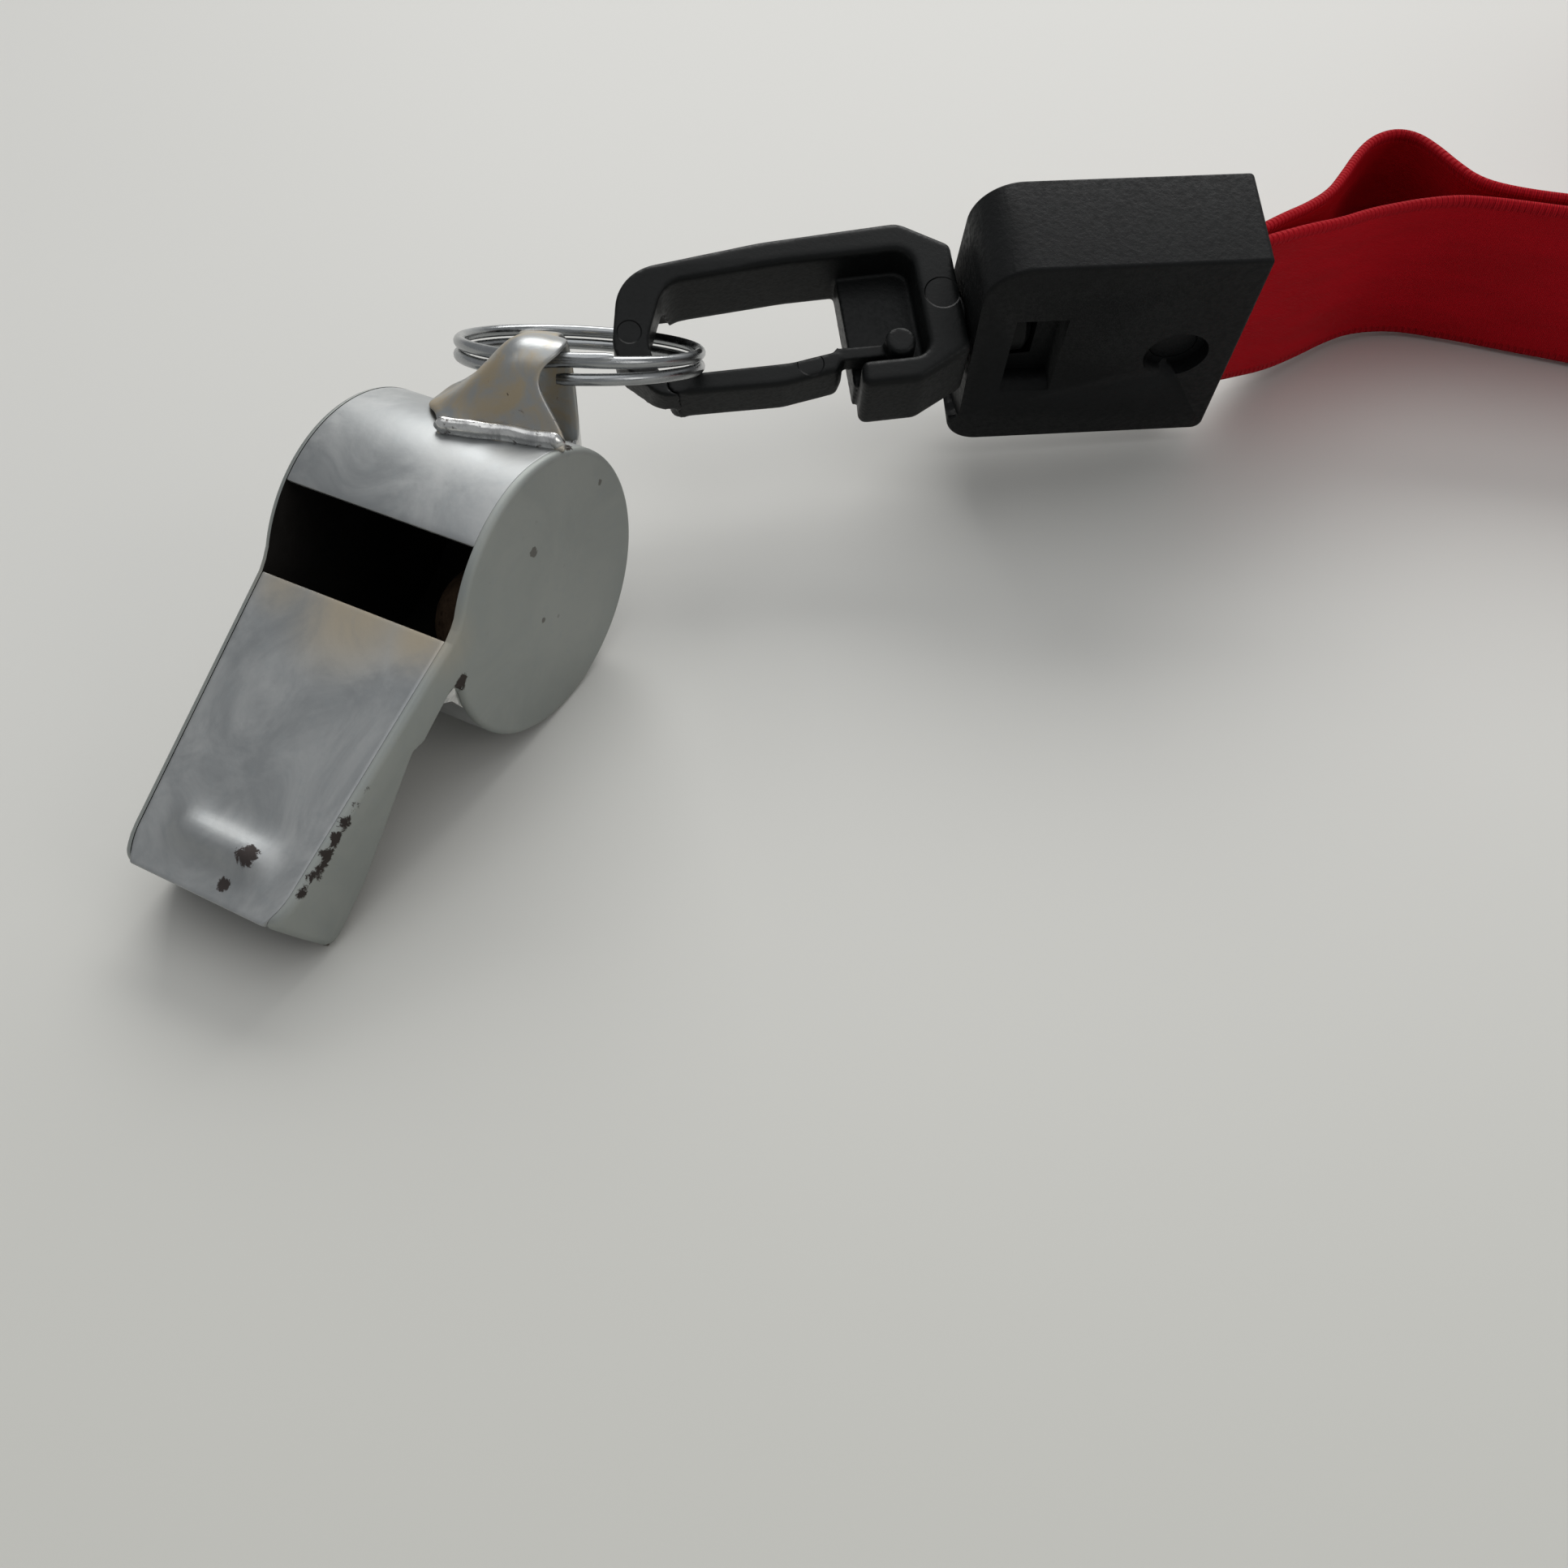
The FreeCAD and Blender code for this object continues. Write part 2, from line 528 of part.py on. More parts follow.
# ---------------------------------------------------------------- everything
def build():
    nodes = {
        "left_cheek": whistle_placed(cheek(-1)),
        "right_cheek": whistle_placed(cheek(1)),
        "barrel_band": whistle_placed(band()),
        "mouthpiece_top": whistle_placed(mouthpiece_top()),
        "mouthpiece_floor": whistle_placed(mouthpiece_floor()),
        "throat_plate": whistle_placed(throat_plate()),
        "throat_solder": whistle_placed(throat_solder()),
        "cork_pea": whistle_placed(pea()),
        "bail": whistle_placed(bail()),
        "bail_solder_front": whistle_placed(bail_solder(FRONT_BEAD, BAIL_LEFT, BAIL_RIGHT)),
        "bail_solder_rear": whistle_placed(bail_solder(REAR_BEAD, BAIL_LEFT + 0.6, 8.2)),
        "split_ring": placed(split_ring(), RING_AT, RING_ACROSS, RING_AWAY,
                             V(RING_ACROSS).cross(RING_AWAY)),
        "hook_body": hook_placed(hook_body()),
        "hook_gate": hook_placed(gate()),
        "swivel_stud": hook_placed(swivel_stud()),
        "case_front": case_half(-5, CASE_SPLIT),
        "case_back": case_half(CASE_SPLIT, CASE_T + 5),
        "clamp_peg": clamp_peg(),
        "ribbon_end_front": ribbon_end(FRONT_LAYER),
        "ribbon_end_back": ribbon_end(BACK_LAYER),
        "ribbon_coil": lanyard_placed(ribbon_coil()),
        "ribbon_front_leg": lanyard_placed(ribbon_leg("front leg", FRONT_ROUTE).cut(ribbon_coil())),
        "ribbon_back_leg": lanyard_placed(ribbon_leg("back leg", BACK_ROUTE).cut(ribbon_coil())),
    }
    return nodes


if __name__ == "__main__":
    for node, solid in build().items():
        export(node, solid)
        extent = solid.BoundBox
        print("%-20s solids %d volume %8.1f  x %.1f..%.1f  y %.1f..%.1f  z %.2f..%.2f"
              % (node, len(solid.Solids), solid.Volume, extent.XMin, extent.XMax,
                 extent.YMin, extent.YMax, extent.ZMin, extent.ZMax))
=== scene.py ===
"""Looks of the pea whistle, its split ring, snap hook, clamp case and ribbon.

Everything is in metres in the CAD's frame; places written in millimetres are multiplied by MM."""
import json
import math

import bmesh
import bpy
from mathutils import Matrix, Vector


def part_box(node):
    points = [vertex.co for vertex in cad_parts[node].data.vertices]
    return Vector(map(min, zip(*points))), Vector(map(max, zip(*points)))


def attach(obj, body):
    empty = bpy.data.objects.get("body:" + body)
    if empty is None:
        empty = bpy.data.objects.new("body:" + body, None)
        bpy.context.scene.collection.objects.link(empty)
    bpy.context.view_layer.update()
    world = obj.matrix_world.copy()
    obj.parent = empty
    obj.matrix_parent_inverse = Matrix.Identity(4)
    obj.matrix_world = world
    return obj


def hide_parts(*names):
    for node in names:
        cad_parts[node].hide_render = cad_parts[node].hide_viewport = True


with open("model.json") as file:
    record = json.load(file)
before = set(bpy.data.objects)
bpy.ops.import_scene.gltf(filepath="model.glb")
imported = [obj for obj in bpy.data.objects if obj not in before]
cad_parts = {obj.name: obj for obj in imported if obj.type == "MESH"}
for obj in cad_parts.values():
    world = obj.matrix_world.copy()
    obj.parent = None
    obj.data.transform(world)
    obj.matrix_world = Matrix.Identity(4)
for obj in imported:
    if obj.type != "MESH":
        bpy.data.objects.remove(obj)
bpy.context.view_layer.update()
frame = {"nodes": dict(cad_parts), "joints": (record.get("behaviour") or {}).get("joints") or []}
MM = 0.001

# ---------------------------------------------------------------- places
# sizes are in mm; WHISTLE is the foot of the barrel's middle, in metres, as the other places are
BARREL_R = 11.75
BODY_HALF = 9.3
band_low, band_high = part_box("barrel_band")
WHISTLE = Vector(((band_low.x + band_high.x) / 2, band_high.y - BARREL_R * MM, 0))
JOINTS = {joint["name"]: joint for joint in frame["joints"]}
HOOK_AT = Vector(JOINTS["swivel"]["pos_m"])
RING_AT = WHISTLE + Vector((-0.13, 20.35, 18.86)) * MM


def axes(x_dir, y_like):
    """Three axes at right angles: the first as given, the second as near as it can be to y_like."""
    x = Vector(x_dir).normalized()
    z = x.cross(Vector(y_like)).normalized()
    return x, z.cross(x), z


def placing(at, x, y, z):
    """The matrix of a frame that stands at a point and has these axes."""
    m = Matrix((x, y, z)).transposed().to_4x4()
    m.translation = at
    return m


HOOK_FRAME = placing(HOOK_AT, *axes((0.800, 0.600, -0.008), (-0.549, 0.738, 0.392)))
RING_FRAME = placing(RING_AT, *axes((0.856, 0.503, -0.120), (-0.499, 0.742, -0.448)))
PLATE_SLOPE = math.radians(24.6)
PLATE_REAR = (11.5, 16.4)


def on_whistle(x, back, up):
    """Point in the frame, in metres, from the foot of the barrel's middle: across, behind and up in mm."""
    return WHISTLE + Vector((x, back, up)) * MM


def side_point(s, depth=0.0):
    """(forward, up) of a point on the top plate: along from its rear edge, under its outer face, in mm."""
    return (PLATE_REAR[0] + s * math.cos(PLATE_SLOPE) - depth * math.sin(PLATE_SLOPE),
            PLATE_REAR[1] - s * math.sin(PLATE_SLOPE) - depth * math.cos(PLATE_SLOPE))


def on_plate(x, s, depth=0.0):
    """That point in the frame, x mm across from the middle."""
    forward, up = side_point(s, depth)
    return on_whistle(x, -forward, up)


# ---------------------------------------------------------------- camera, floor, light
CAMERA_AT = WHISTLE + Vector((71.458, -70.949, 95.463)) * MM
CAMERA_RIGHT, CAMERA_UP = (0.879, 0.475, -0.031), (-0.343, 0.677, 0.651)
LENS, SENSOR = 36.14, 36.0
FLOOR_HALF = 3


def camera():
    data = bpy.data.cameras.new("camera")
    data.lens, data.sensor_width = LENS, SENSOR
    data.clip_start, data.clip_end = 0.005, 20
    cam = bpy.data.objects.new("camera", data)
    bpy.context.collection.objects.link(cam)
    right = Vector(CAMERA_RIGHT).normalized()
    back = right.cross(Vector(CAMERA_UP)).normalized()
    cam.matrix_world = placing(CAMERA_AT, right, back.cross(right), back)
    bpy.context.scene.camera = cam
    bpy.context.scene.view_settings.view_transform = "Standard"


def area_light(name, at, towards, size, power, colour):
    """Rectangular lamp; its place and size in metres."""
    data = bpy.data.lights.new(name, "AREA")
    data.shape, data.size, data.size_y = "RECTANGLE", size[0], size[1]
    data.energy, data.color = power, colour
    lamp = bpy.data.objects.new(name, data)
    bpy.context.collection.objects.link(lamp)
    lamp.location = at
    lamp.rotation_euler = (Vector(towards) - Vector(at)).to_track_quat("-Z", "Y").to_euler()


def stage():
    world = bpy.data.worlds.new("studio")
    bpy.context.scene.world = world
    world.use_nodes = True
    background = world.node_tree.nodes["Background"]
    background.inputs["Color"].default_value = (0.86, 0.88, 0.90, 1)
    background.inputs["Strength"].default_value = 0.40
    area_light("window", (-0.45, 1.30, 1.00), (0, 0.05, 0), (1.5, 0.9), 19, (1.0, 0.995, 0.98))
    area_light("ceiling", (0.1, 0.05, 1.3), (0, 0.05, 0), (1.4, 1.4), 5.0, (0.985, 0.99, 1.0))
    area_light("side", (1.1, 0.1, 0.6), (0, 0, 0.01), (0.6, 0.6), 1.6, (1.0, 0.98, 0.95))
    mesh = bpy.data.meshes.new("floor")
    corners = [(x * FLOOR_HALF, y * FLOOR_HALF, 0) for x, y in ((-1, -1), (1, -1), (1, 1), (-1, 1))]
    mesh.from_pydata(corners, [], [(0, 1, 2, 3)])
    floor = bpy.data.objects.new("floor", mesh)
    bpy.context.collection.objects.link(floor)
    mesh.materials.append(floor_card())


def floor_card():
    """Pale card, with painted shade that makes it a little darker and warmer towards the front."""
    paint = Paint("floor_card")
    cloud = paint.noise(6, 3)
    card = paint.mix(cloud, (0.620, 0.614, 0.585), (0.640, 0.634, 0.605))
    # painted shade: darker and warmer towards the front, where the light of the lamps behind falls off
    away = paint.math("ADD", paint.math("MULTIPLY", paint.axis("X"), -0.452),
                      paint.math("MULTIPLY", paint.axis("Y"), 0.892))
    paint.colour(paint.mix(paint.spread(away, -0.11, 0.015), (0.530, 0.527, 0.488), card))
    paint.set(roughness=0.55, specular=0.35)
    return paint.material


# ---------------------------------------------------------------- materials
class Paint:
    """A procedural material in the object's coordinates, which are the frame's metres, or in its UV."""

    def __init__(self, name, coords="Object"):
        self.material = bpy.data.materials.new(name)
        self.material.use_nodes = True
        self.tree = self.material.node_tree
        self.shader = self.tree.nodes["Principled BSDF"]
        self.coords = self.tree.nodes.new("ShaderNodeTexCoord").outputs[coords]

    def link(self, value, socket):
        """Set a socket from another socket, a colour or vector, or a number."""
        if isinstance(value, bpy.types.NodeSocket):
            self.tree.links.new(value, socket)
        elif isinstance(value, (tuple, list, Vector)):
            missing = len(socket.default_value) - len(value)
            socket.default_value = (*value, *[1] * missing)
        else:
            socket.default_value = value

    def set(self, roughness=None, metallic=None, specular=None):
        names = {"Roughness": roughness, "Metallic": metallic, "Specular IOR Level": specular}
        for name, value in names.items():
            if value is not None:
                self.link(value, self.shader.inputs[name])

    def colour(self, value):
        self.link(value, self.shader.inputs["Base Color"])

    def at(self, scale=(1, 1, 1)):
        node = self.tree.nodes.new("ShaderNodeMapping")
        node.inputs["Scale"].default_value = scale
        self.tree.links.new(self.coords, node.inputs["Vector"])
        return node.outputs["Vector"]

    def noise(self, scale, detail=3, stretch=(1, 1, 1), rough=0.55, distortion=0.0):
        node = self.tree.nodes.new("ShaderNodeTexNoise")
        self.tree.links.new(self.at(stretch), node.inputs["Vector"])
        node.inputs["Scale"].default_value = scale
        node.inputs["Detail"].default_value = detail
        node.inputs["Roughness"].default_value = rough
        node.inputs["Distortion"].default_value = distortion
        return node.outputs["Fac"]

    def cells(self, scale):
        node = self.tree.nodes.new("ShaderNodeTexVoronoi")
        self.tree.links.new(self.coords, node.inputs["Vector"])
        node.inputs["Scale"].default_value = scale
        return node.outputs["Distance"]

    def wave(self, scale, direction="X", distortion=0.0):
        node = self.tree.nodes.new("ShaderNodeTexWave")
        node.bands_direction = direction
        self.tree.links.new(self.coords, node.inputs["Vector"])
        node.inputs["Scale"].default_value = scale
        node.inputs["Distortion"].default_value = distortion
        return node.outputs["Fac"]

    def math(self, kind, a, b=0.0, clamp=False):
        node = self.tree.nodes.new("ShaderNodeMath")
        node.operation, node.use_clamp = kind, clamp
        self.link(a, node.inputs[0])
        self.link(b, node.inputs[1])
        return node.outputs[0]

    def spread(self, value, low, high, to_low=0.0, to_high=1.0):
        """A smooth ramp from to_low, where the value is low, to to_high, where it is high."""
        node = self.tree.nodes.new("ShaderNodeMapRange")
        node.interpolation_type = "SMOOTHSTEP"
        self.link(value, node.inputs["Value"])
        limits = {"From Min": low, "From Max": high, "To Min": to_low, "To Max": to_high}
        for name, number in limits.items():
            node.inputs[name].default_value = number
        return node.outputs["Result"]

    def mix(self, factor, a, b):
        node = self.tree.nodes.new("ShaderNodeMix")
        node.data_type = "RGBA"
        self.link(factor, node.inputs["Factor"])
        self.link(a, node.inputs[6])
        self.link(b, node.inputs[7])
        return node.outputs[2]

    def axis(self, name):
        node = self.tree.nodes.new("ShaderNodeSeparateXYZ")
        self.tree.links.new(self.coords, node.inputs[0])
        return node.outputs[name]

    def spot(self, centre, inner, outer):
        """1 inside the inner radius round a point, 0 outside the outer one."""
        node = self.tree.nodes.new("ShaderNodeVectorMath")
        node.operation = "DISTANCE"
        self.tree.links.new(self.coords, node.inputs[0])
        node.inputs[1].default_value = centre
        return self.spread(node.outputs["Value"], inner, outer, 1.0, 0.0)

    def blots(self, noise, places):
        """Ragged-edged marks at (centre, radius in mm) places."""
        total = None
        for centre, size in places:
            one = self.spot(centre, 0.0, 1.25 * size * MM)
            total = one if total is None else self.math("MAXIMUM", total, one)
        ragged = self.math("ADD", self.math("MULTIPLY", total, 0.5), noise)
        return self.spread(ragged, 0.76, 0.84)

    def bump(self, height, distance, strength=1.0):
        """Add a bump to those that the shader already has."""
        node = self.tree.nodes.new("ShaderNodeBump")
        node.inputs["Strength"].default_value = strength
        node.inputs["Distance"].default_value = distance
        self.link(height, node.inputs["Height"])
        normal = self.shader.inputs["Normal"]
        if normal.is_linked:
            self.tree.links.new(normal.links[0].from_socket, node.inputs["Normal"])
        self.tree.links.new(node.outputs["Normal"], normal)


def worn_marks():
    """(centre, radius in mm) of dark marks: down the right edge, at the ridge, the throat and the bail."""
    edge = [(8.5, 16.2, 0.2, 1.3), (8.4, 17.6, 0.3, 1.4), (8.3, 19.0, 0.4, 1.3), (8.2, 20.6, 0.2, 1.1),
            (8.6, 14.9, 0.2, 1.3), (8.8, 13.6, 0.1, 1.2), (8.9, 12.2, 0.1, 1.0)]
    marks = [(on_plate(x, s, depth), radius) for x, s, depth, radius in edge]
    marks += [(on_plate(3.0, 19.8, -0.9), 1.5), (on_plate(1.9, 22.3), 0.9)]
    return marks + [(on_whistle(BODY_HALF, -11.6, 12.4), 1.3), (on_bail(9.6, 2.2, 22.4), 1.6)]


def plate_metal(name, cool, warm, roughness, cheek=False):
    """Dull plating in two clouded shades, tinted by heat at the window, dark where it is worn through."""
    paint = Paint(name)
    cloud = paint.noise(150, 6, (1, 0.8, 0.8), rough=0.68, distortion=0.8)
    fine = paint.noise(1300, 3)
    base = paint.mix(paint.spread(cloud, 0.32, 0.72), cool, warm)
    pores = paint.math("MULTIPLY", paint.spread(fine, 0.52, 0.75), 0.25)
    base = paint.mix(pores, base, (0.33, 0.36, 0.37))
    tan = (0.50, 0.43, 0.32)
    heat = paint.spot(on_plate(0.5, -0.2), 1.0 * MM, 7.5 * MM)
    heat = paint.math("MAXIMUM", heat, paint.spot(on_plate(6.5, 0.0), 0.5 * MM, 4.5 * MM))
    faint = paint.math("MULTIPLY", paint.spot(on_plate(-6, 0), 0.5 * MM, 4 * MM), 0.7)
    heat = paint.math("MAXIMUM", heat, faint)
    heat = paint.math("MULTIPLY", heat, paint.spread(cloud, 0.25, 0.6, 0.35, 1.0))
    base = paint.mix(paint.math("MULTIPLY", heat, 0.85), base, tan)
    blotch = paint.noise(900, 6, rough=0.8, distortion=0.6)
    mark = paint.blots(blotch, worn_marks())
    base = paint.mix(paint.math("MULTIPLY", mark, 0.88), base, (0.050, 0.034, 0.030))
    if cheek:
        speck = paint.spread(paint.cells(420), 0.05, 0.10, 1.0, 0.0)
        speck = paint.math("MULTIPLY", speck, paint.spread(paint.noise(120, 2), 0.55, 0.7))
        base = paint.mix(paint.math("MULTIPLY", speck, 0.5), base, (0.20, 0.20, 0.19))
        places = ((-1.0, 16.9, 0.75), (8.3, 17.0, 0.5), (-1.4, 10.3, 0.4))
        dots = [(on_whistle(BODY_HALF, back, up), radius) for back, up, radius in places]
        dots = paint.blots(blotch, dots)
        base = paint.mix(paint.math("MULTIPLY", dots, 0.7), base, (0.10, 0.085, 0.075))
    paint.colour(base)
    rough = paint.spread(cloud, 0.3, 0.75, roughness[0], roughness[1])
    rough = paint.math("ADD", rough, paint.math("MULTIPLY", mark, 0.3), clamp=True)
    paint.set(metallic=1.0, roughness=rough)
    paint.bump(paint.noise(90, 2), 0.25 * MM, 0.35)
    paint.bump(fine, 0.02 * MM, 0.5)
    return paint.material


def solder_metal():
    paint = Paint("soft_solder")
    cloud = paint.noise(600, 4, rough=0.6, distortion=0.8)
    base = paint.mix(paint.spread(cloud, 0.35, 0.7), (0.72, 0.72, 0.70), (0.40, 0.40, 0.40))
    burnt = paint.spread(paint.noise(1100, 4, rough=0.7, distortion=1.0), 0.58, 0.68)
    base = paint.mix(burnt, base, (0.07, 0.055, 0.05))
    paint.colour(base)
    paint.set(metallic=1.0, roughness=paint.spread(cloud, 0.3, 0.7, 0.12, 0.34))
    paint.bump(cloud, 0.08 * MM, 0.6)
    return paint.material


def bail_metal():
    paint = Paint("bail_plate")
    cloud = paint.noise(330, 4, rough=0.6, distortion=0.6)
    base = paint.mix(paint.spread(cloud, 0.35, 0.68), (0.36, 0.37, 0.37), (0.44, 0.37, 0.265))
    burnt = paint.spread(paint.noise(600, 5, rough=0.7, distortion=1.2), 0.63, 0.72)
    base = paint.mix(burnt, base, (0.10, 0.075, 0.06))
    paint.colour(base)
    paint.set(metallic=1.0, roughness=paint.spread(cloud, 0.3, 0.7, 0.36, 0.52))
    paint.bump(cloud, 0.10 * MM, 0.6)
    return paint.material


def wire_metal():
    paint = Paint("spring_wire")
    cloud = paint.noise(500, 3)
    paint.colour(paint.mix(cloud, (0.25, 0.26, 0.265), (0.40, 0.41, 0.415)))
    paint.set(metallic=1.0, roughness=paint.spread(cloud, 0.3, 0.7, 0.16, 0.32))
    paint.bump(paint.noise(2500, 2), 0.02 * MM, 0.4)
    return paint.material


def matt_surface(name, base, roughness, grain, depth, pins=()):
    """Matt and finely grained: a plastic moulding, the painted shade of the whistle's inside or the cut
    end of the cloth.

    grain is the noise's scale and depth its height in mm. pins: (centre, radius in mm) of the round marks
    that the mould's ejector pins leave."""
    paint = Paint(name)
    cloud = paint.noise(160, 3)
    fine = paint.noise(grain, 3, rough=0.65)
    paint.colour(paint.mix(paint.spread(cloud, 0.3, 0.7), base, tuple(1.5 * c for c in base)))
    paint.set(roughness=paint.spread(fine, 0.35, 0.7, roughness[0], roughness[1]), specular=0.15)
    paint.bump(fine, depth * MM, 0.8)
    paint.bump(cloud, 0.12 * MM, 0.25)
    for centre, radius in pins:
        paint.bump(paint.spot(centre, (radius - 0.12) * MM, (radius + 0.02) * MM), -0.16 * MM, 1.0)
    return paint.material


def cork():
    paint = Paint("cork_grain")
    grain = paint.noise(900, 5, rough=0.7)
    # the cork's own brown grain, darkened well below its colour as painted shade for the dark chamber it
    # sits in
    base = paint.mix(paint.spread(grain, 0.3, 0.7), (0.055, 0.033, 0.020), (0.11, 0.070, 0.042))
    pits = paint.spread(paint.cells(900), 0.12, 0.25, 1.0, 0.0)
    paint.colour(paint.mix(paint.math("MULTIPLY", pits, 0.8), base, (0.030, 0.018, 0.010)))
    paint.set(roughness=0.85, specular=0.2)
    paint.bump(grain, 0.2 * MM, 0.8)
    return paint.material


RIBBON_W, RIBBON_T = 20 * MM, 0.9 * MM


def ribbon_cloth():
    """Satin-faced ribbon. UV: x is metres along it, y is metres across it."""
    paint = Paint("red_ribbon", "UV")
    ribs = paint.wave(2000, "X", 0.6)
    threads = paint.wave(1300, "Y", 0.4)
    slub = paint.noise(300, 4, (0.25, 1, 1), rough=0.6)
    across = paint.axis("Y")
    centre = paint.math("ABSOLUTE", paint.math("SUBTRACT", across, RIBBON_W / 2))
    selvedge = paint.spread(centre, RIBBON_W / 2 - 1.2 * MM, RIBBON_W / 2 - 0.7 * MM)
    base = paint.mix(paint.spread(slub, 0.3, 0.7), (0.400, 0.0030, 0.0085), (0.490, 0.0045, 0.0120))
    shadow = paint.math("MULTIPLY", paint.spread(ribs, 0.2, 0.8), 0.30)
    base = paint.mix(shadow, base, (0.29, 0.0025, 0.007))
    base = paint.mix(paint.math("MULTIPLY", selvedge, 0.45), base, (0.42, 0.008, 0.016))
    paint.colour(base)
    paint.set(roughness=paint.spread(slub, 0.3, 0.7, 0.62, 0.78), specular=0.08)
    paint.bump(ribs, 0.06 * MM, 0.6)
    paint.bump(threads, 0.03 * MM, 0.5)
    paint.bump(paint.math("MULTIPLY", selvedge, paint.wave(520, "X", 1.0)), 0.25 * MM, 0.8)
    return paint.material


# ---------------------------------------------------------------- mesh helpers
def link_object(name, mesh, material, body, slot, *replaced):
    piece = bpy.data.objects.new(name, mesh)
    bpy.context.collection.objects.link(piece)
    mesh.materials.append(material)
    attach(piece, body)
    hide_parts(*replaced)
    return piece


def apply_modifiers(piece):
    """Give the piece the mesh that its modifiers make."""
    bpy.context.view_layer.update()
    graph = bpy.context.evaluated_depsgraph_get()
    mesh = bpy.data.meshes.new_from_object(piece.evaluated_get(graph))
    piece.modifiers.clear()
    piece.data = mesh


def softened(node, material, body, slot, width, dark=None):
    """The CAD piece with its sharp edges rounded over, as handling and plating leave them.

    width: of the rounding, in mm. dark: (test, material) of the faces that lie inside, for their painted
    shade."""
    bm = bmesh.new()
    bm.from_mesh(frame["nodes"][node].data)
    bmesh.ops.remove_doubles(bm, verts=bm.verts, dist=0.003 * MM)
    bmesh.ops.dissolve_limit(bm, angle_limit=math.radians(0.6), verts=bm.verts, edges=bm.edges)
    mesh = bpy.data.meshes.new(node + "_soft")
    bm.to_mesh(mesh)
    bm.free()
    piece = link_object(node + "_soft", mesh, material, body, slot, node)
    if width:
        bevel = piece.modifiers.new("bevel", "BEVEL")
        bevel.width, bevel.segments = width * MM, 3
        bevel.limit_method, bevel.angle_limit = "ANGLE", math.radians(28)
        apply_modifiers(piece)
    if dark:
        darken(piece.data, *dark)
    shade(piece.data)
    return piece


def moulded(piece, passes):
    """Soften every edge and corner, as a plastic moulding's are."""
    grain = piece.modifiers.new("grain", "REMESH")
    grain.mode, grain.voxel_size = "VOXEL", 0.16 * MM
    ease = piece.modifiers.new("ease", "SMOOTH")
    ease.factor, ease.iterations = 0.5, passes
    apply_modifiers(piece)
    piece.data.shade_smooth()


def darken(mesh, inside, material):
    """Give the faces that lie inside a material of their own: the near-black painted shade of the
    whistle's inside.
    """
    mesh.materials.append(material)
    for polygon in mesh.polygons:
        if inside(polygon):
            polygon.material_index = 1


def shade(mesh, angle=35):
    mesh.shade_smooth()
    mesh.set_sharp_from_angle(angle=math.radians(angle))


def dress(node, material):
    """A CAD piece that stays as it is, with a finished material."""
    data = frame["nodes"][node].data
    data.materials.clear()
    data.materials.append(material)
    shade(data)


def rounded(corners, steps=6):
    """Closed outline through (x, y, radius) corners, each with a radius turned by an arc."""
    out = []
    for i, (x, y, radius) in enumerate(corners):
        here = Vector((x, y))
        if not radius:
            out.append(here)
            continue
        a = (Vector(corners[i - 1][:2]) - here).normalized()
        b = (Vector(corners[(i + 1) % len(corners)][:2]) - here).normalized()
        half = math.acos(max(-1, min(1, a.dot(b)))) / 2
        reach = radius / math.tan(half)
        centre = here + (a + b).normalized() * (radius / math.sin(half))
        start, end = here + a * reach - centre, here + b * reach - centre
        turn = start.angle_signed(end)
        for k in range(steps + 1):
            spin = Matrix.Rotation(-turn * k / steps, 2)
            out.append(centre + spin @ start)
    return out


def spline_points(points, resolution=6):
    """Points along the smooth line of a quadratic NURBS with these control points."""
    data = bpy.data.curves.new("route", "CURVE")
    data.dimensions = "3D"
    spline = data.splines.new("NURBS")
    spline.points.add(len(points) - 1)
    for point, co in zip(spline.points, points):
        point.co = (*co, 1)
    spline.order_u = 3
    spline.use_endpoint_u = True
    data.resolution_u = resolution
    curve = bpy.data.objects.new("route", data)
    bpy.context.collection.objects.link(curve)
    bpy.context.view_layer.update()
    mesh = bpy.data.meshes.new_from_object(curve)
    line = [v.co.copy() for v in mesh.vertices]
    bpy.data.objects.remove(curve)
    bpy.data.meshes.remove(mesh)
    return line


# ---------------------------------------------------------------- ribbon
# each leg's middle line, in mm from the foot of the barrel's middle, and how far its upper edge stands off
# its lower one in x and y
FRONT_ROUTE = [
    (45.1, 57.2, 13.6, 4.2, -5.0), (47.3, 61.9, 12.5, 4.9, -3.4), (49.6, 65.9, 11.6, 4.6, -3.6),
    (51.4, 70.0, 11.0, 4.2, -4.4), (53.1, 73.6, 10.5, 4.3, -5.4), (55.0, 76.5, 10.2, 4.1, -6.2),
    (58.2, 79.0, 10.0, 3.4, -6.4), (61.3, 79.9, 9.9, 2.6, -6.4), (64.4, 80.4, 9.9, 2.0, -6.4),
    (68.6, 80.9, 9.9, 1.2, -6.3), (74.3, 81.6, 10.0, 0.6, -6.0), (82.0, 83.1, 10.1, 0.3, -4.0),
    (92.0, 85.3, 10.2, 0.0, -2.0), (104.0, 86.5, 10.3, 0.0, -0.6), (118.0, 86.6, 10.3, 0.0, 0.0)
]
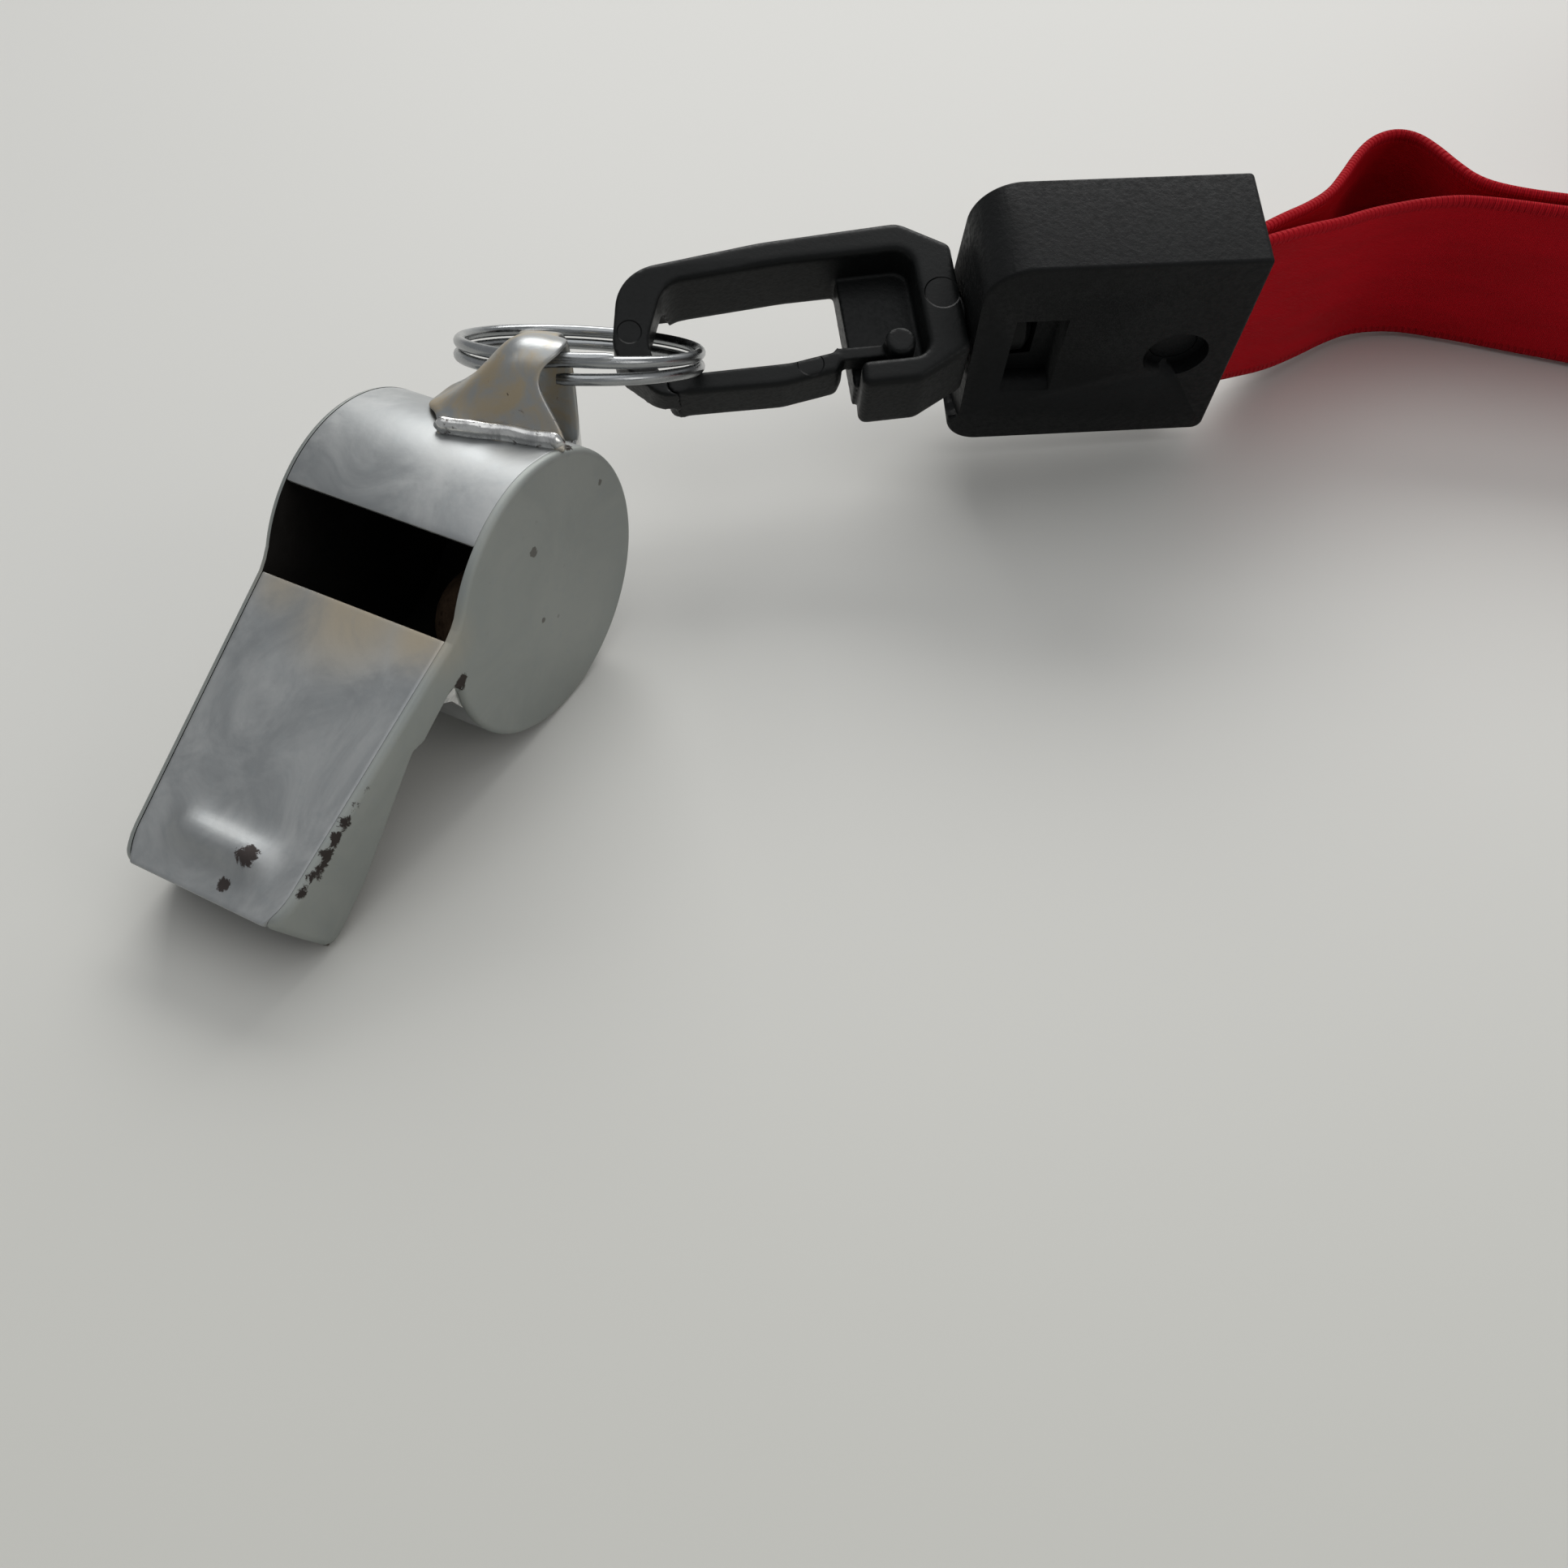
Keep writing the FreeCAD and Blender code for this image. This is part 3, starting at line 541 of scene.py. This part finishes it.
BACK_ROUTE = [
    (44.5, 58.2, 14.0, 4.2, -5.0), (45.4, 61.9, 13.3, 4.4, -4.4), (46.5, 66.3, 12.1, 4.4, -3.8),
    (47.6, 70.9, 11.3, 4.0, -3.8), (47.9, 76.0, 10.8, 3.6, -4.0), (48.1, 80.8, 10.6, 3.3, -4.4),
    (48.9, 84.4, 10.5, 2.8, -4.8), (50.7, 86.8, 10.4, 2.0, -5.0), (53.1, 87.0, 10.4, 1.2, -5.2),
    (55.6, 85.4, 10.4, 0.8, -5.4), (57.9, 83.4, 10.3, 0.9, -5.6), (60.2, 82.1, 10.1, 1.1, -5.9),
    (63.2, 81.9, 10.1, 1.0, -6.2), (68.0, 82.7, 10.0, 0.8, -6.2), (74.2, 83.9, 10.1, 0.5, -5.8),
    (82.0, 86.6, 10.2, 0.2, -4.0), (91.0, 90.6, 10.3, 0.0, -2.0), (101.0, 93.7, 10.3, 0.0, -0.6),
    (113.0, 94.5, 10.3, 0.0, 0.0)
]
COIL_CENTRE = (125.0, 138.6)
COIL_OUTER = 52.0
COIL_UP = 10.3
STRAND_GAP = 8.0
COIL_TURNS = 1.53
POINTS_PER_TURN = 28


def coil_point(turn, strand):
    """A place in the coil, as in the routes: two upright strands side by side, wound inwards."""
    radius = COIL_OUTER - strand * STRAND_GAP - 2 * STRAND_GAP * turn
    angle = math.radians(-90) + turn * 2 * math.pi
    x, y = COIL_CENTRE[0] + radius * math.cos(angle), COIL_CENTRE[1] + radius * math.sin(angle)
    return (x, y, COIL_UP, 0.0, 0.0)


def ribbon_route():
    """Out along the front leg, into the coil, round the fold in it and back along the other leg."""
    count = round(COIL_TURNS * POINTS_PER_TURN)
    turns = [COIL_TURNS * (k + 0.5) / count for k in range(count)]
    inwards = [coil_point(turn, 0) for turn in turns]
    outwards = [coil_point(turn, 1) for turn in reversed(turns)]
    fold = [coil_point(COIL_TURNS + 0.035, 0.15), coil_point(COIL_TURNS + 0.055, 0.5),
            coil_point(COIL_TURNS + 0.035, 0.85)]
    return FRONT_ROUTE + inwards + fold + outwards + BACK_ROUTE[::-1]


def ribbon_section():
    """(across, through) points round the ribbon in metres, with a bead at each selvedge."""
    half = RIBBON_W / 2
    across = [-1.0, -0.985, -0.95, -0.90, -0.6, -0.2, 0.2, 0.6, 0.90, 0.95, 0.985, 1.0]
    through = [0.12, 0.40, 0.50, 0.40, 0.38, 0.38, 0.38, 0.38, 0.40, 0.50, 0.40, 0.12]
    front = [(a * half, t * RIBBON_T) for a, t in zip(across, through)]
    return front + [(v, -t) for v, t in reversed(front)]


def ribbon():
    """The whole ribbon as one band: its middle line and its upper edge follow the route's smooth lines."""
    middle, upper = [], []
    for x, y, z, dx, dy in ribbon_route():
        rise = math.sqrt((RIBBON_W / MM) ** 2 - dx ** 2 - dy ** 2)
        middle.append(on_whistle(x, y, z))
        upper.append(middle[-1] + Vector((dx, dy, rise)) * (MM / 2))
    line, edge = spline_points(middle), spline_points(upper)
    section = ribbon_section()
    verts, along = [], [0.0]
    for i, (at, top) in enumerate(zip(line, edge)):
        if i:
            along.append(along[-1] + (at - line[i - 1]).length)
        ahead = (line[min(i + 1, len(line) - 1)] - line[max(i - 1, 0)]).normalized()
        up = (top - at).normalized()
        side = ahead.cross(up).normalized()
        verts += [at + up * v + side * t for v, t in section]
    size = len(section)
    faces = [(i * size + k, i * size + (k + 1) % size, (i + 1) * size + (k + 1) % size, (i + 1) * size + k)
             for i in range(len(line) - 1) for k in range(size)]
    faces += [tuple(range(size))[::-1], tuple((len(line) - 1) * size + k for k in range(size))]
    mesh = bpy.data.meshes.new("ribbon")
    mesh.from_pydata(verts, [], faces)
    layer = mesh.uv_layers.new(name="cloth")
    for loop in mesh.loops:
        step, k = divmod(loop.vertex_index, size)
        layer.data[loop.index].uv = (along[step], section[k][0] + RIBBON_W / 2)
    mesh.update()
    piece = link_object("ribbon", mesh, ribbon_cloth(), "lanyard", "ribbon",
                        "ribbon_front_leg", "ribbon_back_leg", "ribbon_coil")
    shade(mesh, 60)


# ---------------------------------------------------------------- split ring
RING_R, WIRE_R = 10.06 * MM, 0.5 * MM
RING_LIFT = 0.56 * MM
WIRE_START, WIRE_SWEEP = -98, 745
CROSS_FROM, CROSS_OVER = 318, 50
START_FREE, END_FREE = 60, 55


def ring():
    """Two turns of wire that cross over once, with both cut ends sprung a little away.

    Angles along the wire are in degrees: it crosses over CROSS_OVER degrees from CROSS_FROM on."""
    points, steps = [], 220
    for k in range(steps + 1):
        turn = k / steps * math.radians(WIRE_SWEEP)
        degrees = math.degrees(turn)
        step = min(1, max(0, (degrees - CROSS_FROM) / CROSS_OVER))
        step = step * step * (3 - 2 * step)
        lift = (-1 + 2 * step) * RING_LIFT
        lift -= 0.32 * MM * max(0, 1 - degrees / START_FREE)
        lift += 0.30 * MM * max(0, (degrees - WIRE_SWEEP + END_FREE) / END_FREE)
        radius = RING_R + 0.04 * MM * math.sin(2 * turn)
        angle = math.radians(WIRE_START) + turn
        points.append(RING_FRAME @ Vector((radius * math.cos(angle), radius * math.sin(angle), lift)))
    mesh = tube("split_ring_wire", points, WIRE_R, 14)
    link_object("split_ring_wire", mesh, wire_metal(), "ring", "ring_wire", "split_ring")
    shade(mesh, 50)


def tube(name, points, radius, sides):
    """Round wire through the points, its last rings drawn in to ease the cut ends."""
    verts, faces = [], []
    last = len(points) - 1
    normal = (points[1] - points[0]).orthogonal()
    for i in range(last + 1):
        scale = 1.0 if 0 < i < last else 0.8
        ahead = (points[min(i + 1, last)] - points[max(i - 1, 0)]).normalized()
        normal = (normal - ahead * normal.dot(ahead)).normalized()
        side = ahead.cross(normal)
        for k in range(sides):
            angle = 2 * math.pi * k / sides
            verts.append(points[i] + (normal * math.cos(angle) + side * math.sin(angle)) * radius * scale)
    for i in range(last):
        for k in range(sides):
            faces.append((i * sides + k, i * sides + (k + 1) % sides,
                          (i + 1) * sides + (k + 1) % sides, (i + 1) * sides + k))
    faces += [tuple(range(sides))[::-1], tuple(last * sides + k for k in range(sides))]
    mesh = bpy.data.meshes.new(name)
    mesh.from_pydata(verts, [], faces)
    mesh.update()
    return mesh


# ---------------------------------------------------------------- whistle
SHEET = 0.6
TAPER_START, TAPER = 10.3, 1.7 / 22.8
TIP_TURN, TIP_CURVE = 30.6, 0.12
TIP_CUTS = (31.3, 31.9, 32.4, 32.8)
PLATE_LEN = 23.8
RIDGE_AT, RIDGE_HIGH = 19.8, 1.0
DENT_AT, DENT_DEEP = 17.6, 0.10


def inset(forward):
    """How far the mouthpiece's sides have drawn in: a straight taper, then the tip's rounded corners."""
    return max(0, forward - TAPER_START) * TAPER + TIP_CURVE * max(0, forward - TIP_TURN) ** 2


def pillow(name, outline, thickness):
    """Flat plate on z = 0 with its upper edge rounded over, cut across where it will bend.

    The outline and thickness are in mm and the mesh is in metres."""
    data = bpy.data.curves.new(name, "CURVE")
    data.dimensions, data.fill_mode = "2D", "BOTH"
    spline = data.splines.new("POLY")
    spline.points.add(len(outline) - 1)
    for point, (x, y) in zip(spline.points, outline):
        point.co = (x * MM, y * MM, 0, 1)
    spline.use_cyclic_u = True
    round_by = 0.97 * thickness * MM
    data.extrude = thickness * MM - round_by
    data.bevel_depth, data.offset, data.bevel_resolution = round_by, -round_by, 5
    curve = bpy.data.objects.new(name, data)
    bpy.context.collection.objects.link(curve)
    bpy.context.view_layer.update()
    mesh = bpy.data.meshes.new_from_object(curve)
    bpy.data.objects.remove(curve)
    bm = bmesh.new()
    bm.from_mesh(mesh)
    bmesh.ops.remove_doubles(bm, verts=bm.verts, dist=0.002 * MM)
    cut = bmesh.ops.bisect_plane(bm, geom=bm.verts[:] + bm.edges[:] + bm.faces[:], plane_co=(0, 0, 0),
                                 plane_no=(0, 0, 1), clear_inner=True)
    rim = [e for e in cut["geom_cut"] if isinstance(e, bmesh.types.BMEdge)]
    bmesh.ops.contextual_create(bm, geom=rim)
    for forward in (TAPER_START, TIP_TURN, *TIP_CUTS):
        bmesh.ops.bisect_plane(bm, geom=bm.verts[:] + bm.edges[:] + bm.faces[:],
                               plane_co=(forward * MM, 0, 0), plane_no=(1, 0, 0))
    bmesh.ops.recalc_face_normals(bm, faces=bm.faces)
    bm.to_mesh(mesh)
    bm.free()
    return mesh


def cheek_plate(node, side, metal, chamber_shade):
    """Side plate: round behind, long in front, its outer edge turned over into the top plate."""
    # the barrel's rim, from the throat under and behind it to the window
    steps = 110
    circle = [math.radians(-9 - 321 * k / steps) for k in range(steps + 1)]
    corners = [(BARREL_R * math.cos(t), BARREL_R + BARREL_R * math.sin(t), 0) for t in circle]
    corners += [(10.75, 17.0, 0.7), (*side_point(0), 0.5), (*side_point(PLATE_LEN), 0.8), (29.5, 0.0, 1.2),
                (*side_point(18.0, 6.6), 3.0), (*side_point(8.0, 3.2), 0.6), (*side_point(6.9, 3.7), 0.5),
                (11.85, 12.75, 0.7)]
    mesh = pillow(node + "_plate", rounded(corners), SHEET)
    for vertex in mesh.vertices:
        forward, up, out = vertex.co
        across = BODY_HALF * MM - SHEET * MM + out - inset(forward / MM) * MM
        vertex.co = WHISTLE + Vector((side * across, -forward, up))
    if side > 0:
        mesh.flip_normals()
    link_object(node + "_plate", mesh, metal, "whistle", "plated_brass", node)
    # the cheek's inner faces get the near-black painted shade of the chamber
    darken(mesh, lambda polygon: polygon.normal.x * side < -0.9, chamber_shade)
    shade(mesh, 40)


def top_plate(metal, chamber_shade):
    """Top of the mouthpiece, with the tooth ridge raised out of the sheet and a shallow dent behind it."""
    across, along = 48, 64
    bm = bmesh.new()
    grid = []
    for j in range(along + 1):
        s = PLATE_LEN * j / along
        forward = side_point(s)[0]
        half = BODY_HALF - SHEET - inset(forward)
        row = []
        for i in range(across + 1):
            x = half * (2 * i / across - 1)
            ridge = RIDGE_HIGH * math.exp(-((s - RIDGE_AT) / 1.45) ** 2) * math.exp(-(x / 4.3) ** 6)
            dent = DENT_DEEP * math.exp(-((s - DENT_AT) / 1.3) ** 2) * math.exp(-(x / 4.6) ** 4)
            row.append(bm.verts.new(on_plate(x, s, dent - ridge)))
        grid.append(row)
    for a, b in zip(grid, grid[1:]):
        for i in range(across):
            bm.faces.new((a[i], b[i], b[i + 1], a[i + 1]))
    mesh = bpy.data.meshes.new("mouthpiece_plate")
    bm.to_mesh(mesh)
    bm.free()
    piece = link_object("mouthpiece_plate", mesh, metal, "whistle", "plated_brass", "mouthpiece_top")
    thick = piece.modifiers.new("sheet", "SOLIDIFY")
    thick.thickness, thick.offset = SHEET * MM, -1
    edge = piece.modifiers.new("edge", "BEVEL")
    edge.width, edge.segments = 0.12 * MM, 2
    edge.limit_method, edge.angle_limit = "ANGLE", math.radians(50)
    apply_modifiers(piece)
    # the top plate's underside gets the near-black painted shade of the mouthpiece's inside
    darken(piece.data, lambda polygon: polygon.normal.z < -0.6, chamber_shade)
    shade(piece.data, 50)


def in_chamber(polygon):
    """Whether a face of the band looks at the barrel's axis."""
    out = polygon.center - WHISTLE - Vector((0, 0, BARREL_R * MM))
    return polygon.normal.dot(Vector((0, out.y, out.z)).normalized()) < -0.6


def whistle():
    cheek = plate_metal("cheek_plate", (0.330, 0.350, 0.335), (0.385, 0.400, 0.380), (0.54, 0.64), True)
    body = plate_metal("body_plate", (0.330, 0.342, 0.346), (0.455, 0.463, 0.460), (0.42, 0.58))
    # near-black painted shade for the faces inside the whistle, which lie in shadow
    chamber_shade = matt_surface("chamber_painted_shade", (0.010, 0.009, 0.008), (0.6, 0.8), 900, 0.05)
    for node, side in (("left_cheek", -1), ("right_cheek", 1)):
        cheek_plate(node, side, cheek, chamber_shade)
    # the band's faces round the chamber get that painted shade
    softened("barrel_band", body, "whistle", "plated_brass", 0.12, dark=(in_chamber, chamber_shade))
    top_plate(body, chamber_shade)
    # the plating again, darker: painted shade for the pieces inside the mouthpiece and throat
    inner = plate_metal("inner_plate", (0.16, 0.15, 0.13), (0.22, 0.20, 0.16), (0.45, 0.6))
    softened("mouthpiece_floor", inner, "whistle", "plated_brass", 0.1)
    softened("throat_plate", inner, "whistle", "plated_brass", 0.1)
    bright = solder_metal()
    softened("throat_solder", bright, "whistle", "solder", 0.35)
    softened("bail_solder_rear", bright, "whistle", "solder", 0.35)
    bail()
    bail_foot(bright)
    dress("cork_pea", cork())


# ---------------------------------------------------------------- bail
# places on it are (along its tunnel, behind the barrel's top, up) in mm
TUNNEL_X, TUNNEL_Y = 0.9354, 0.3535
TUNNEL, BEHIND = Vector((TUNNEL_X, TUNNEL_Y, 0)), Vector((-TUNNEL_Y, TUNNEL_X, 0))
BAIL_TOP = 28.7
BAIL_SHEET = 0.55
# from the front foot over the ridge and down behind it: behind, share of the height, left end, right end
BAIL_PROFILE = [
    (0.9, 0.02, 0.4, 10.5), (1.7, 0.10, 0.3, 10.4), (2.2, 0.26, 0.2, 9.9), (2.8, 0.50, 0.0, 9.0),
    (3.5, 0.72, -0.4, 8.2), (4.2, 0.90, -0.9, 8.6), (5.2, 0.985, -1.5, 9.7), (6.6, 1.0, -1.9, 10.0),
    (8.0, 0.94, -1.6, 9.8), (9.2, 0.86, -0.8, 9.3)
]
# the ridge from left to right: along, share of the height
BAIL_RIDGE = [
    (-1.9, 0.04), (-0.8, 0.14), (0.4, 0.27), (2.0, 0.48), (3.4, 0.69), (4.8, 0.89), (6.0, 0.99),
    (7.2, 1.0), (10.5, 0.96)
]
# the narrower sheet down to the rear foot: behind, up
BAIL_REAR = [(10.6, 26.6), (11.9, 25.3), (12.3, 23.6), (12.3, 21.0), (11.9, 18.0), (10.9, 15.6)]
REAR_LEFT, REAR_WIDE = 4.9, 3.6


def on_bail(along, behind, up):
    return WHISTLE + (TUNNEL * along + BEHIND * behind + Vector((0, 0, up))) * MM


def barrel_top(along, behind):
    """How high the barrel is under that place."""
    back = TUNNEL_Y * along + TUNNEL_X * behind
    return BARREL_R + math.sqrt(BARREL_R ** 2 - back ** 2)


def between(pairs, x):
    """The value at x of a line through (x, value) pairs."""
    for (x0, y0), (x1, y1) in zip(pairs, pairs[1:]):
        if x <= x1:
            return y0 + (y1 - y0) * max(0, (x - x0) / (x1 - x0))
    return pairs[-1][1]


def bail():
    """Tent-shaped sheet: a low skirt on the left rising to the open arch on the right."""
    columns, rear_first, rear_last = 14, 9, 13
    furthest_on_barrel = 7.5
    bm = bmesh.new()
    grid = []
    for behind, share, left, right in BAIL_PROFILE:
        row = []
        for i in range(columns + 1):
            along = left + (right - left) * i / columns
            low = barrel_top(along, min(behind, furthest_on_barrel))
            height = (BAIL_TOP - low) * share * between(BAIL_RIDGE, along)
            row.append(bm.verts.new(on_bail(along, behind, low + height)))
        grid.append(row)
    for behind, up in BAIL_REAR:
        row = [None] * (columns + 1)
        for i in range(rear_first, rear_last + 1):
            along = REAR_LEFT + REAR_WIDE * (i - rear_first) / (rear_last - rear_first)
            row[i] = bm.verts.new(on_bail(along, behind, up))
        grid.append(row)
    for lower, upper in zip(grid, grid[1:]):
        for i in range(columns):
            corners = (lower[i], lower[i + 1], upper[i + 1], upper[i])
            if all(corners):
                bm.faces.new(corners)
    mesh = bpy.data.meshes.new("bail_sheet")
    bm.to_mesh(mesh)
    bm.free()
    piece = link_object("bail_sheet", mesh, bail_metal(), "whistle", "bail_metal", "bail")
    thick = piece.modifiers.new("sheet", "SOLIDIFY")
    thick.thickness, thick.offset = BAIL_SHEET * MM, -1
    smooth = piece.modifiers.new("smooth", "SUBSURF")
    smooth.levels = smooth.render_levels = 2
    apply_modifiers(piece)
    shade(piece.data, 60)


def bail_foot(material):
    """The bright run of solder along the front foot, standing a little proud and uneven."""
    steps, sides = 40, 12
    left, length = 0.3, 10.0
    half_wide, half_high, raised = 0.62, 0.80, 0.45
    sections = []
    bm = bmesh.new()
    for k in range(steps + 1):
        along = left + length * k / steps
        behind = 1.55 + 0.06 * math.sin(1.4 * along)
        fade = min(1, 0.25 + k / 3, 0.25 + (steps - k) / 3)
        swell = 1 + 0.05 * math.sin(2.1 * along + 1)
        middle = barrel_top(along, behind) + raised
        section = []
        for j in range(sides):
            turn = 2 * math.pi * j / sides
            section.append(bm.verts.new(on_bail(along, behind + half_wide * fade * math.cos(turn),
                                                middle + half_high * fade * swell * math.sin(turn))))
        sections.append(section)
    for a, b in zip(sections, sections[1:]):
        for j in range(sides):
            bm.faces.new((a[j], a[(j + 1) % sides], b[(j + 1) % sides], b[j]))
    bm.faces.new(sections[0][::-1])
    bm.faces.new(sections[-1])
    bmesh.ops.recalc_face_normals(bm, faces=bm.faces)
    mesh = bpy.data.meshes.new("bail_foot")
    bm.to_mesh(mesh)
    bm.free()
    link_object("bail_foot", mesh, material, "whistle", "solder", "bail_solder_front")
    shade(mesh, 70)


# ---------------------------------------------------------------- hook and case
def hook():
    """Hook and gate as one moulding, and the swivel's stud."""
    # the ejector pins' round marks: place in the hook's own frame and radius, in mm
    marks = (((-29.1, 0.4, 2.5), 1.1), ((-13.9, -4.3, 2.0), 1.2), ((-1.6, 0.5, 3.4), 1.6))
    pins = [(HOOK_FRAME @ (Vector(place) * MM), radius) for place, radius in marks]
    plastic = matt_surface("hook_moulding", (0.0045, 0.0050, 0.0050), (0.36, 0.50), 2600, 0.03, pins)
    for node, body, passes in (("hook_body", "hook", 10), ("hook_gate", "gate", 5)):
        moulded(softened(node, plastic, body, "hook_plastic", 0), passes)
    softened("swivel_stud", plastic, "hook", "hook_plastic", 0.1)


def case():
    plastic = matt_surface("case_moulding", (0.0040, 0.0044, 0.0046), (0.44, 0.62), 1900, 0.06)
    for node in ("case_front", "case_back"):
        softened(node, plastic, "lanyard", "case_plastic", 0)
    softened("clamp_peg", plastic, "lanyard", "case_plastic", 0.15)
    cloth = matt_surface("ribbon_end_cloth", (0.10, 0.002, 0.004), (0.7, 0.8), 1500, 0.05)
    for node in ("ribbon_end_front", "ribbon_end_back"):
        dress(node, cloth)


camera()
stage()
ribbon()
ring()
whistle()
hook()
case()
